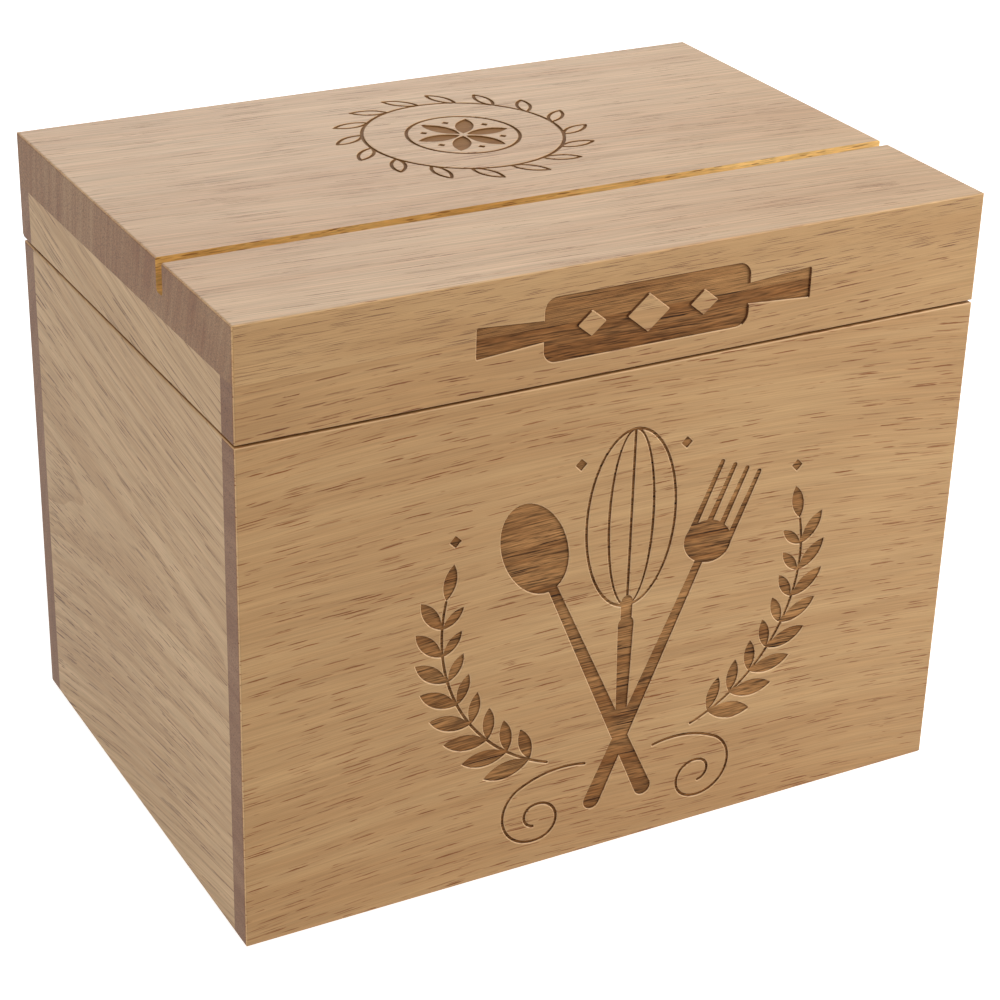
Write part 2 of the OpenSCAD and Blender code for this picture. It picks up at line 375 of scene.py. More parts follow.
def wood(name, look, turn, grain_axis, edge_axis, pith, reach, dash=(9, 0.36, 0.36),
         crowd=0.64, taper=0.03, ring=6, rings=0.3, sway=7, fan=0, bow=0, strand=30, deep=1):
    """A pale hardwood with weak rings, such as rubberwood: soft bands of growth that run with
    the grain, long open pores that show as dark dashes on a face and as dots on a sawn end,
    and fine fibre. Sanded and oiled, so the gloss is low and even. The axes are those along
    the grain and across the narrow edges, ring is a ring's width and rings how much its late
    growth shows, strand the fibres' length, and deep darkens the pores."""
    material, tree, shader = new_material(name)
    place = add(tree, "ShaderNodeTexCoord")
    log = log_space(tree, place, turn, pith, reach, taper, sway, fan, bow)
    # Bands of growth as wide as a ring, with finer lines in them
    band = add(tree, "ShaderNodeMapping", {"Vector": log, "Scale": (1 / 160, 1 / ring, 1 / 90)})
    band = add(tree, "ShaderNodeTexNoise", {"Vector": band.outputs[0], "Scale": 1, "Detail": 5,
                                            "Roughness": 0.65})
    band = add(tree, "ShaderNodeMapRange", {0: band.outputs[0], 1: 0.3, 2: 0.7})
    # Broad clouds of colour, a few centimetres long
    cloud = add(tree, "ShaderNodeMapping", {"Vector": log, "Scale": (1 / 90, 1 / 22, 1 / 26)})
    cloud = add(tree, "ShaderNodeTexNoise", {"Vector": cloud.outputs[0], "Scale": 1,
                                             "Detail": 2, "Roughness": 0.5})
    cloud = add(tree, "ShaderNodeMapRange", {0: cloud.outputs[0], 1: 0.3, 2: 0.7, 3: -0.5,
                                             4: 0.5})
    # Each ring darkens towards its outer edge and ends there
    wander = add(tree, "ShaderNodeMath", {0: cloud.outputs[0], 1: 0.6}, operation="MULTIPLY")
    late = add(tree, "ShaderNodeSeparateXYZ", {0: log})
    late = add(tree, "ShaderNodeMath", {0: late.outputs["Y"], 1: 1 / ring, 2: wander.outputs[0]},
               operation="MULTIPLY_ADD")
    late = add(tree, "ShaderNodeMath", {0: late.outputs[0]}, operation="FRACT")
    late = add(tree, "ShaderNodeMath", {0: late.outputs[0], 1: 6}, operation="POWER")
    band = add(tree, "ShaderNodeMath", {0: late.outputs[0], 1: rings, 2: band.outputs[0]},
               operation="MULTIPLY_ADD")
    tone = add(tree, "ShaderNodeMath", {0: cloud.outputs[0], 1: 0.7, 2: band.outputs[0]},
               operation="MULTIPLY_ADD", use_clamp=True)
    # Fibre, drawn some ten times as coarse as it is so that it shows
    fibre = add(tree, "ShaderNodeMapping", {"Vector": log,
                                            "Scale": (1 / strand, 1 / 0.35, 1 / 0.35)})
    fibre = add(tree, "ShaderNodeTexNoise", {"Vector": fibre.outputs[0], "Scale": 1,
                                             "Detail": 2, "Roughness": 0.6})
    fibre = add(tree, "ShaderNodeMapRange", {0: fibre.outputs[0], 1: 0.3, 2: 0.7, 3: -1})
    mask = pores(tree, log, tone.outputs[0], dash, crowd)
    vessel = add(tree, "ShaderNodeMath", {0: mask, 1: look.pores}, operation="MULTIPLY")
    # Which way the surface faces: 1 on a flat, less on a sanded corner
    facing = add(tree, "ShaderNodeVectorMath", {0: place.outputs["Normal"]},
                 operation="ABSOLUTE")
    axes = add(tree, "ShaderNodeSeparateXYZ", {0: facing.outputs[0]})
    flatness = add(tree, "ShaderNodeMath", {0: axes.outputs["X"], 1: axes.outputs["Y"]},
                   operation="MAXIMUM")
    flatness = add(tree, "ShaderNodeMath", {0: axes.outputs["Z"], 1: flatness.outputs[0]},
                   operation="MAXIMUM")
    corner = add(tree, "ShaderNodeMapRange", {0: flatness.outputs[0], 1: 0.94, 2: 0.82})
    ends = add(tree, "ShaderNodeMapRange", {0: axes.outputs[grain_axis], 1: 0.75, 2: 0.92})
    edges = add(tree, "ShaderNodeMapRange", {0: axes.outputs[edge_axis], 1: 0.75, 2: 0.92})
    # Rings and cut fibre show more on a sawn end
    figure = add(tree, "ShaderNodeMapRange", {0: ends.outputs[0], 3: look.figure, 4: 1})
    tone = add(tree, "ShaderNodeMath", {0: tone.outputs[0], 1: figure.outputs[0]},
               operation="MULTIPLY")
    rough = add(tree, "ShaderNodeMapRange", {0: ends.outputs[0], 3: look.fibre,
                                             4: look.fibre + 0.14})
    fibre = add(tree, "ShaderNodeMath", {0: fibre.outputs[0], 1: rough.outputs[0], 2: 1},
                operation="MULTIPLY_ADD")
    # Colours, laid over each other
    rgba = {k: [*getattr(look, k), 1] for k in ("face", "edge", "end", "arris", "growth",
                                                "pore")}
    rgba["pore"] = [c ** deep for c in rgba["pore"]]
    faced = add(tree, "ShaderNodeMix", {0: edges.outputs[0], 6: rgba["face"], 7: rgba["edge"]},
                data_type="RGBA")
    ended = add(tree, "ShaderNodeMix", {0: ends.outputs[0], 6: faced.outputs[2],
                                        7: rgba["end"]}, data_type="RGBA")
    # Faces that turn from the flat take the arris colour: a painted highlight with sanded raw
    # wood on the oiled boards, and the walls' painted shade with scorch in a recess
    painted_corners = add(tree, "ShaderNodeMix", {0: corner.outputs[0], 6: ended.outputs[2],
                                       7: rgba["arris"]}, data_type="RGBA")
    grown = add(tree, "ShaderNodeMix", {0: tone.outputs[0], 6: painted_corners.outputs[2],
                                        7: rgba["growth"]}, data_type="RGBA",
                blend_type="MULTIPLY")
    fibred = add(tree, "ShaderNodeVectorMath", {0: grown.outputs[2], 3: fibre.outputs[0]},
                 operation="SCALE")
    pored = add(tree, "ShaderNodeMix", {0: vessel.outputs[0], 6: fibred.outputs[0],
                                        7: rgba["pore"]}, data_type="RGBA",
                blend_type="MULTIPLY")
    tree.links.new(pored.outputs[2], shader.inputs["Base Color"])
    shader.inputs["Roughness"].default_value = look.gloss
    shader.inputs["Specular IOR Level"].default_value = look.sheen
    # Open pores lie a few hundredths of a millimetre under the surface
    bump = add(tree, "ShaderNodeBump", {"Height": vessel.outputs[0], "Strength": 0.5,
                                        "Distance": 0.06 * MM}, invert=True)
    tree.links.new(bump.outputs[0], shader.inputs["Normal"])
    return material


def drawn_brass(name, tint, gloss):
    """Drawn and tumbled brass: a warm metal with faint clouds of tarnish and fine scratches."""
    material, tree, shader = new_material(name)
    place = add(tree, "ShaderNodeTexCoord")
    cloud = add(tree, "ShaderNodeTexNoise", {"Vector": place.outputs["Object"],
                                             "Scale": 1 / (4 * MM), "Detail": 4})
    tarnished = [c * 0.62 for c in tint] + [1]
    mixed = add(tree, "ShaderNodeMix", {0: cloud.outputs[0], 6: [*tint, 1], 7: tarnished},
                data_type="RGBA")
    tree.links.new(mixed.outputs[2], shader.inputs["Base Color"])
    rough = add(tree, "ShaderNodeMapRange", {0: cloud.outputs[0], 1: 0.3, 2: 0.7,
                                             3: gloss - 0.08, 4: gloss + 0.12})
    tree.links.new(rough.outputs[0], shader.inputs["Roughness"])
    scratch = add(tree, "ShaderNodeMapping", {"Vector": place.outputs["Object"],
                                              "Scale": (1 / (8 * MM), 1 / (0.15 * MM),
                                                        1 / (0.15 * MM))})
    scratch = add(tree, "ShaderNodeTexNoise", {"Vector": scratch.outputs[0], "Scale": 1})
    bump = add(tree, "ShaderNodeBump", {"Height": scratch.outputs[0], "Strength": 0.25,
                                        "Distance": 0.02 * MM})
    tree.links.new(bump.outputs[0], shader.inputs["Normal"])
    shader.inputs["Metallic"].default_value = 1
    return material


# Engraving. Its shapes are drawn flat, in millimetres, on a plane whose third axis points out
# of the wood, and each becomes a closed cutter of its own. Cutters may overlap.


def outline(bm, arcs):
    """A flat face whose edge runs through arcs, each a centre, a radius and two angles in
    degrees. An arc of no radius is a corner."""
    ends = []
    for centre, radius, start, stop in arcs:
        centre = Vector((*centre, 0))
        a = math.radians(start)
        first = bm.verts.new(centre + radius * Vector((math.cos(a), math.sin(a), 0)))
        last = first
        if radius:
            turn = 2 * math.acos(1 - CHORD_ERROR / max(radius, 2 * CHORD_ERROR))
            steps = max(2, math.ceil(abs(math.radians(stop - start)) / turn))
            made = bmesh.ops.spin(bm, geom=[first], cent=centre, axis=(0, 0, 1),
                                  angle=math.radians(stop - start), steps=steps)
            last = next(v for v in made["geom_last"] if isinstance(v, bmesh.types.BMVert))
        ends.append((first, last))
    for (_, last), (first, _) in zip(ends, ends[1:] + ends[:1]):
        if (last.co - first.co).length > 1e-4:
            bm.edges.new((last, first))
    bmesh.ops.remove_doubles(bm, verts=bm.verts, dist=1e-4)
    made = bmesh.ops.edgeloop_fill(bm, edges=bm.edges)
    return made["faces"]


def lay(bm, start, lean):
    """Turns a shape about the drawing's middle and moves it to a point."""
    place = Matrix.Translation((*start, 0)) @ Matrix.Rotation(math.radians(lean), 4, "Z")
    bmesh.ops.transform(bm, matrix=place, verts=bm.verts)


def disc(bm, centre, lean, wide, high):
    """A filled ellipse."""
    made = bmesh.ops.create_circle(bm, cap_ends=True, segments=40, radius=0.5)
    bmesh.ops.scale(bm, vec=(wide, high, 1), verts=made["verts"])
    lay(bm, centre, lean)


def ring(bm, centre, lean, wide, high, line):
    """An elliptical line. Its width and height are measured to the middle of the line."""
    loops = []
    for d in (line, -line):
        made = bmesh.ops.create_circle(bm, cap_ends=False, segments=64, radius=0.5)
        bmesh.ops.scale(bm, vec=(wide + d, high + d, 1), verts=made["verts"])
        loops += dict.fromkeys(e for v in made["verts"] for e in v.link_edges)
    bmesh.ops.bridge_loops(bm, edges=loops)
    lay(bm, centre, lean)


def arc_line(bm, centre, radius, start, stop, line):
    """A line of even width along an arc, with round ends."""
    turn = math.copysign(180, stop - start)
    ends = [(centre[0] + radius * math.cos(math.radians(a)),
             centre[1] + radius * math.sin(math.radians(a))) for a in (start, stop)]
    outline(bm, [(centre, radius + line / 2, start, stop), (ends[1], line / 2, stop, stop + turn),
                 (centre, radius - line / 2, stop, start),
                 (ends[0], line / 2, start + 180, start + 180 + turn)])


def bar(bm, start, stop, wide0, wide1):
    """A tapered bar with round ends."""
    lean = math.degrees(math.atan2(stop[1] - start[1], stop[0] - start[0]))
    outline(bm, [(start, wide0 / 2, lean + 90, lean + 270),
                 (stop, wide1 / 2, lean - 90, lean + 90)])


def leaf(bm, start, lean, long, wide):
    """A pointed leaf that starts at a point and leans from the X axis."""
    r = (long ** 2 + wide ** 2) / (4 * wide)
    half = math.degrees(math.asin(long / 2 / r))
    drop = r - wide / 2
    outline(bm, [((long / 2, -drop), r, 90 - half, 90 + half),
                 ((long / 2, drop), r, 270 - half, 270 + half)])
    lay(bm, start, lean)


def lozenge(bm, centre, wide, high, soft=0.4):
    """A diamond with slightly soft corners."""
    x, y = centre
    lean = math.degrees(math.atan2(wide, high))
    outline(bm, [((x + wide / 2 - soft, y), soft, -lean, lean),
                 ((x, y + high / 2 - soft), soft, lean, 180 - lean),
                 ((x - wide / 2 + soft, y), soft, 180 - lean, 180 + lean),
                 ((x, y - high / 2 + soft), soft, 180 + lean, 360 - lean)])


def rounded(bm, centre, wide, high, soft):
    """A rectangle with round corners."""
    corners = [(1, 1, 0), (-1, 1, 90), (-1, -1, 180), (1, -1, 270)]
    outline(bm, [((centre[0] + sx * (wide / 2 - soft), centre[1] + sy * (high / 2 - soft)),
                  soft, a, a + 90) for sx, sy, a in corners])


def sink(bm, depth, rim, up):
    """Makes the flat faces of a shape a closed cutter: it stands above the surface, narrows
    by the rim's chamfer and goes straight down to its floor. With up at -1 it is a peg that
    leaves wood standing."""
    bmesh.ops.recalc_face_normals(bm, faces=bm.faces)
    if bm.faces[:][0].normal.z < 0:
        bmesh.ops.reverse_faces(bm, faces=bm.faces)
    faces = list(bm.faces)
    clear = 1
    levels = [clear, 0, -rim, -depth] if up > 0 else [-depth - clear, -rim, 0, clear]
    bmesh.ops.translate(bm, vec=(0, 0, levels[0]), verts=bm.verts)
    for n, level in enumerate(levels[1:]):
        if n == 1:
            bmesh.ops.inset_region(bm, faces=faces, thickness=rim, use_even_offset=True,
                                   use_boundary=True)
        else:
            edges = list(dict.fromkeys(e for f in faces for e in f.edges))
            made = bmesh.ops.extrude_face_region(bm, geom=faces + edges)
            faces = [f for f in made["geom"] if isinstance(f, bmesh.types.BMFace)]
        for v in dict.fromkeys(v for f in faces for v in f.verts):
            v.co.z = level
    bmesh.ops.recalc_face_normals(bm, faces=bm.faces)


def cutter(name, shapes, place, depth, rim, up=1):
    """One object with a closed cutter for each shape, placed on the face that it cuts.
    A shape is a drawing function and its values."""
    whole = bpy.data.meshes.new(name)
    gathered = bmesh.new()
    for draw, *values in shapes:
        bm = bmesh.new()
        draw(bm, *values)
        sink(bm, depth / MM, rim / MM, up)
        bm.to_mesh(whole)
        bm.free()
        gathered.from_mesh(whole)
    bmesh.ops.scale(gathered, vec=(MM, MM, MM), verts=gathered.verts)
    bmesh.ops.transform(gathered, matrix=place, verts=gathered.verts)
    bmesh.ops.recalc_face_normals(gathered, faces=gathered.faces)
    gathered.to_mesh(whole)
    gathered.free()
    made = bpy.data.objects.new(name, whole)
    bpy.context.collection.objects.link(made)
    return made


def cut(piece, tool):
    """Cuts a tool out of a piece for good, and deletes the tool."""
    modifier = piece.modifiers.new("cut", "BOOLEAN")
    modifier.operation, modifier.solver, modifier.object = "DIFFERENCE", "EXACT", tool
    modifier.use_self = True
    graph = bpy.context.evaluated_depsgraph_get()
    mesh = bpy.data.meshes.new_from_object(piece.evaluated_get(graph))
    piece.modifiers.remove(modifier)
    piece.data = mesh
    mesh.name = piece.name
    bpy.data.objects.remove(tool)


def board_copy(name, node, body, materials):
    """A copy of a board's solid, merged to a closed mesh, that stands for it."""
    bm = bmesh.new()
    bm.from_mesh(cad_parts[node].data)
    bmesh.ops.remove_doubles(bm, verts=bm.verts, dist=1e-6)
    bmesh.ops.dissolve_limit(bm, angle_limit=math.radians(0.05), verts=bm.verts, edges=bm.edges)
    for f in bm.faces:
        f.smooth = False
    mesh = bpy.data.meshes.new(name)
    bm.to_mesh(mesh)
    bm.free()
    mesh.materials.clear()
    for m in materials:
        mesh.materials.append(m)
    piece = bpy.data.objects.new(name, mesh)
    bpy.context.collection.objects.link(piece)
    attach(piece, body)
    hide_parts(node)
    return piece


def mark(piece, material, chosen):
    """Gives a material to the faces that a test picks by their middle and normal, in metres."""
    index = piece.data.materials.find(material.name)
    for f in piece.data.polygons:
        if chosen(f.center, f.normal):
            f.material_index = index


def finish_node(node, material):
    """Gives a packed board or fitting its real finish."""
    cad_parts[node].material_slots[0].material = material


# The ornaments


def laurel(side, centre, radius, start, stop, line, count, long, wide):
    """A sprig along an arc, with leaves on both sides and one at its tip. Side is 1 for the
    right-hand sprig and -1 for its mirror image."""
    def flip(a):
        return a if side > 0 else 180 - a
    # The leaves' lean from the stem and their size, on its inside, its outside and at its tip.
    # They start a little way up the stem and lose a quarter of their size along it.
    inside, outside, tip = (46, 0.76), (-36, 1), (0, 1)
    first, loss = 0.7, 0.25
    middle = (centre[0] * side, centre[1])
    shapes = [(arc_line, middle, radius, flip(start), flip(stop), line)]
    for n in range(count + 1):
        a = start + (stop - start) * (n + first) / (count + first)
        point = (middle[0] + side * radius * math.cos(math.radians(a)),
                 middle[1] + radius * math.sin(math.radians(a)))
        size = 1 - loss * n / count
        for lean, part in (inside, outside) if n < count else (tip,):
            shapes.append((leaf, point, flip(a + 90 + lean), long * size * part,
                           wide * size * part))
    return shapes


def along(start, lean, far, aside=0):
    """The point that lies far along a leaning line and aside from it."""
    a = math.radians(lean)
    return (start[0] + far * math.cos(a) - aside * math.sin(a),
            start[1] + far * math.sin(a) + aside * math.cos(a))


def utensils(tie, line):
    """A spoon, a whisk and a fork that fan out from where their handles cross. Distances are
    measured from there."""
    # Leans from the X axis, in degrees
    spoon, whisk, fork = 114, 90, 66
    # The crossed handles: their feet, and their widths there and at the neck
    foot, foot_wide, neck_wide = -17, 4.8, 2.6
    bowl, bowl_long, bowl_wide = 60, 25, 16
    wires, wires_long, wires_wide = 57, 44, (23, 11.5)
    palm, palm_long, palm_wide = 51, 11, 13.6
    tines, pitch, tine_end = 4, 3.7, 70
    shapes = [(bar, along(tie, spoon, foot), along(tie, spoon, 52), foot_wide, neck_wide),
              (disc, along(tie, spoon, bowl), spoon, bowl_long, bowl_wide),
              (bar, along(tie, whisk, 4), along(tie, whisk, 30), 3.2, 4.6),
              (bar, along(tie, whisk, 32), along(tie, whisk, 36), 3.4, 3.4),
              (bar, along(tie, fork, foot), along(tie, fork, 48), foot_wide, neck_wide),
              (disc, along(tie, fork, palm), fork, palm_long, palm_wide)]
    for wide in wires_wide:
        shapes.append((ring, along(tie, whisk, wires), whisk, wires_long, wide, line))
    middle_wire = (wires - wires_long / 2, wires + wires_long / 2)
    shapes.append((bar, *(along(tie, whisk, far) for far in middle_wire), line, line))
    for n in range(tines):
        aside = (n - (tines - 1) / 2) * pitch
        shapes.append((bar, along(tie, fork, palm, aside), along(tie, fork, tine_end, aside),
                       2.2, 1.6))
    return shapes


def scroll(side, tie, line):
    """A flourish that runs from under the tie into a curl."""
    def flip(a):
        return a if side > 0 else 180 - a
    x, y = tie
    # Each arc's middle, radius and two angles. It starts about where the last one ended.
    arcs = [((x + 15, y - 28), 24, 104, 62), ((x + 22.4, y - 14), 8.2, 62, -110),
            ((x + 21.3, y - 17.1), 4.9, -110, -290), ((x + 22, y - 15.2), 2.9, 70, -80)]
    return [(arc_line, (side * cx, cy), r, flip(a), flip(b), line)
            for (cx, cy), r, a, b in arcs]


def front_ornament(carving):
    """A spoon, a whisk and a fork between two laurel sprigs, over two scrolls."""
    line = carving.line / MM
    tie = (0, -28)
    shapes = utensils(tie, line)
    for side in (1, -1):
        shapes += laurel(side, centre=(5, 10), radius=42, start=-70, stop=12, line=line,
                         count=8, long=12.5, wide=4.8)
        shapes += scroll(side, tie, line)
        for x, z in ((13.5, 45), (44, 33)):
            shapes.append((lozenge, (side * x, z), 3.2, 3.2))
    return shapes


def leaf_line(bm, start, lean, long, wide, line):
    """One side of an outlined leaf. A width below nought gives the other side."""
    r = (long ** 2 + wide ** 2) / (4 * abs(wide))
    half = math.degrees(math.asin(long / 2 / r))
    drop = math.copysign(r - abs(wide) / 2, wide)
    middle = 90 if wide > 0 else 270
    arc_line(bm, (long / 2, -drop), r, middle - half, middle + half, line)
    lay(bm, start, lean)


def lid_ornament(carving):
    """A compass-drawn flower of six petals inside a ring of outlined leaves."""
    line = carving.fine / MM
    middle = (0, 0)
    # Radii of the two rings
    flower, band = 13.5, 24
    petals, petal_start, petal_long, petal_wide = 6, 0.8, 11.2, 4.6
    leaves, leaf_lean, leaf_long, leaf_wide = 16, 48, 9, 3.2
    shapes = [(ring, middle, 0, 2 * r, 2 * r, line) for r in (band, flower)]
    for n in range(petals):
        a = 360 * n / petals
        shapes.append((leaf, along(middle, a, petal_start), a, petal_long, petal_wide))
        # A seed between two petals
        shapes.append((lozenge, along(middle, a + 180 / petals, 9.4), 2, 2, 0.25))
    for n in range(leaves):
        a = 360 * n / leaves
        for wide in (leaf_wide, -leaf_wide):
            shapes.append((leaf_line, along(middle, a, band), a + leaf_lean, leaf_long, wide,
                           line))
    return shapes


def handle(bm, side, near, far, wide0, wide1, soft=0.5):
    """A handle that widens from the barrel to its flat end."""
    corners = [((near, -wide0 / 2), 180, 270), ((far, -wide1 / 2), 270, 360),
               ((far, wide1 / 2), 0, 90), ((near, wide0 / 2), 90, 180)]
    outline(bm, [((x - math.copysign(soft, x - near - 1), y - math.copysign(soft, y)), soft, a, b)
                 for (x, y), a, b in corners])
    if side < 0:
        bmesh.ops.scale(bm, vec=(-1, 1, 1), verts=bm.verts)


def rolling_pin():
    """A rolling pin: its barrel and two handles that widen to their ends."""
    barrel_long, barrel_wide, barrel_soft = 51.4, 15.2, 3.2
    shapes = [(rounded, (0, 0), barrel_long, barrel_wide, barrel_soft)]
    # The handles start inside the barrel
    near, far, near_wide, far_wide = 24, 41.8, 5, 7.4
    for side in (1, -1):
        shapes.append((handle, side, near, far, near_wide, far_wide))
    return shapes


def rolling_pin_inlay():
    """Lozenges left standing in the barrel."""
    return [(lozenge, (-14, 0), 7, 6), (lozenge, (0, 0), 10.5, 9), (lozenge, (14, 0), 7, 6)]


# Operators


# Where the middle of each ornament lies, in millimetres: X and Z on the front panel and on the
# lid's front, X and Y on top
FRONT_MIDDLE, PIN_MIDDLE, LID_MIDDLE = (2.5, 57), (4, 135.1), (3, 20)
# Faces under the surface belong to an engraving when they lie this far in from the board's
# edges, above this height on the lid's front, and this far back on top, in millimetres
CLEAR, PIN_FOOT, LID_START = 2, 124.5, 45
# They are its floor and walls from just past the rim to well past the floor, as shares of both
PAST_RIM, PAST_FLOOR = 1.05, 1.5
# The card slot, in millimetres: how far its middle lies behind the front, width and depth
SLOT_BACK, SLOT_WIDE, SLOT_DEEP = 38.5, 3.5, 7.5


def on_front(middle, y):
    """Stands a drawing upright on a face that looks to the front."""
    return (Matrix.Translation((middle[0] * MM, y, middle[1] * MM))
            @ Matrix.Rotation(math.pi / 2, 4, "X"))


class CARDBOX_OT_front_panel(bpy.types.Operator):
    """Build the front panel with its engraved ornament"""
    bl_idname = "cardbox.front_panel"
    bl_label = "Front Panel"

    def execute(self, context):
        box = context.scene.card_box
        depth, rim = box.carving.depth, box.carving.rim
        low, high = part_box("base_front_panel")
        log = (flat_board(1), "X", "Z", (0, 40, 130), 190)
        plain = wood("panel_front_oiled_rubberwood", box.panel_wood, *log, bow=0.0005)
        carved = wood("panel_front_carved_rubberwood", box.carved_wood, *log,
                      (14, 0.42, 0.42), 0.9, bow=0.0005, strand=6, deep=1.2)
        piece = board_copy("front_panel", "base_front_panel", "base",
                           [plain, carved])
        cut(piece, cutter("front_ornament", front_ornament(box.carving),
                          on_front(FRONT_MIDDLE, low.y), depth, rim))
        edge = CLEAR * MM
        # The floor and walls start just past the rim, so the rim's chamfer keeps the plain wood
        # and its pale arris colour: a painted highlight round the engraving
        start, stop = low.y + PAST_RIM * rim, low.y + PAST_FLOOR * depth
        mark(piece, carved, lambda c, n: low.x + edge < c.x < high.x - edge
             and low.z + edge < c.z < high.z - edge and start < c.y < stop)
        return {"FINISHED"}


class CARDBOX_OT_lid_front(bpy.types.Operator):
    """Build the lid's top board and front rail, with the engraving that crosses their joint"""
    bl_idname = "cardbox.lid_front"
    bl_label = "Lid Board and Front Rail"

    def execute(self, context):
        box = context.scene.card_box
        depth, rim = box.carving.depth, box.carving.rim
        low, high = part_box("lid_top_board")
        turn = lying_board(-1.5)
        # The board's top and slot, its front edge, and the rail below it
        flat = (turn, "X", "Y", (40, 110, 160), 165)
        upright = (turn, "X", "Z", (10, 140, 20), 170)
        below = (flat_board(2.5), "X", "Z", (0, 40, 130), 260)
        fine, coarse = (20, 0.26, 0.26), (16, 0.45, 0.45)
        top = wood("top_oiled_rubberwood", box.top_wood, *flat, fine, 0.5, ring=3.5)
        kerf = wood("kerf_sawn_rubberwood", box.kerf_wood, *flat, (5, 0.4, 0.4), 0.8)
        top_carved = wood("top_carved_rubberwood", box.lid_carved_wood, *flat, fine, 0.5,
                          ring=3.5)
        edge_carved = wood("top_edge_carved_rubberwood", box.carved_wood, *upright, coarse, 1,
                           strand=6, deep=1.6)
        edge_wood = wood("top_edge_oiled_rubberwood", box.panel_wood, *upright, (8, 0.5, 0.5),
                         1.1, deep=2.1)
        board = board_copy("top_board", "lid_top_board", "lid",
                           [top, top_carved, kerf, edge_wood, edge_carved])
        rail = wood("rail_oiled_rubberwood", box.panel_wood, *below, deep=1.4)
        rail_carved = wood("rail_carved_rubberwood", box.carved_wood, *below, coarse, 1,
                           strand=6, deep=1.6)
        front_rail = board_copy("front_rail", "lid_front_rail", "lid",
                                [rail, rail_carved])
        mark(board, edge_wood, lambda c, n: abs(n.y) > 0.99)
        place = on_front(PIN_MIDDLE, low.y)
        for piece in (board, front_rail):
            tool = cutter("rolling_pin", rolling_pin(), place, depth, rim)
            cut(tool, cutter("inlay", rolling_pin_inlay(), place, depth, rim, -1))
            cut(piece, tool)
        place = Matrix.Translation((LID_MIDDLE[0] * MM, LID_MIDDLE[1] * MM, high.z))
        cut(board, cutter("lid_ornament", lid_ornament(box.carving), place,
                          box.carving.lid_depth, box.carving.lid_rim))
        edge, skin = CLEAR * MM, 0.02 * MM
        floor = PAST_FLOOR * depth
        for piece, carved in ((board, edge_carved), (front_rail, rail_carved)):
            # The rims that look down or left take the carved colour too: painted shade along the
            # top and right edges of the engraving
            mark(piece, carved, lambda c, n: low.x + edge < c.x < high.x - edge
                 and PIN_FOOT * MM < c.z < high.z - edge and c.y < low.y + floor
                 and c.y > low.y + (skin if min(n.x, n.z) < -0.4 else PAST_RIM * rim))
        lid_rim = PAST_RIM * box.carving.lid_rim
        mark(board, top_carved, lambda c, n: high.z - floor < c.z < high.z - lid_rim
             and low.y + LID_START * MM < c.y < high.y - edge
             and low.x + edge < c.x < high.x - edge)
        middle, slack = low.y + SLOT_BACK * MM, 0.05 * MM
        mark(board, kerf, lambda c, n: abs(c.y - middle) < SLOT_WIDE / 2 * MM + slack
             and high.z - SLOT_DEEP * MM - 2 * slack < c.z < high.z - skin / 2)
        return {"FINISHED"}


class CARDBOX_OT_plain_boards(bpy.types.Operator):
    """Finish the boards that have no engraving"""
    bl_idname = "cardbox.plain_boards"
    bl_label = "Plain Boards"

    def execute(self, context):
        box = context.scene.card_box
        back = wood("panel_back_oiled_rubberwood", box.panel_wood, flat_board(-2), "X", "Z",
                    (300, 65, -10), 140)
        # Cut near the pith, which lies inside the box, so the right one is turned end for end
        sides = [wood(f"side_{name}_oiled_rubberwood", box.side_wood, cross_board(0, dive),
                      "Y", "Z", pith, 50, (50, 0.28, 0.34), 0.64, taper=0.02, ring=2.6,
                      rings=1.2, sway=2.5, fan=0.003, deep=1.4)
                 for name, dive, pith in (("left", 0.7, (0, 132, -67)),
                                          ("right", -179.3, (20, 132, -62)))]
        bottom = wood("bottom_oiled_rubberwood", box.panel_wood, lying_board(1), "X", "Y",
                      (200, 80, 0), 90)
        for node, material in (("base_back_panel", back), ("lid_back_rail", back),
                               ("base_left_panel", sides[0]), ("lid_left_rail", sides[0]),
                               ("base_right_panel", sides[1]), ("lid_right_rail", sides[1]),
                               ("base_bottom_panel", bottom)):
            finish_node(node, material)
        return {"FINISHED"}


class CARDBOX_OT_hinges(bpy.types.Operator):
    """Finish the hinges, their pins and their screws"""
    bl_idname = "cardbox.hinges"
    bl_label = "Hinges and Screws"

    def execute(self, context):
        metal = context.scene.card_box.metal
        brass = drawn_brass("hinge_drawn_brass", metal.brass, metal.gloss)
        pin = drawn_brass("pin_drawn_brass", metal.pin, metal.gloss)
        for side in ("left", "right"):
            finish_node(f"{side}_hinge_base_leaf", brass)
            finish_node(f"{side}_hinge_lid_leaf", brass)
            finish_node(f"{side}_hinge_pin", pin)
        for node in ("base_hinge_screws", "lid_hinge_screws"):
            finish_node(node, brass)
        return {"FINISHED"}


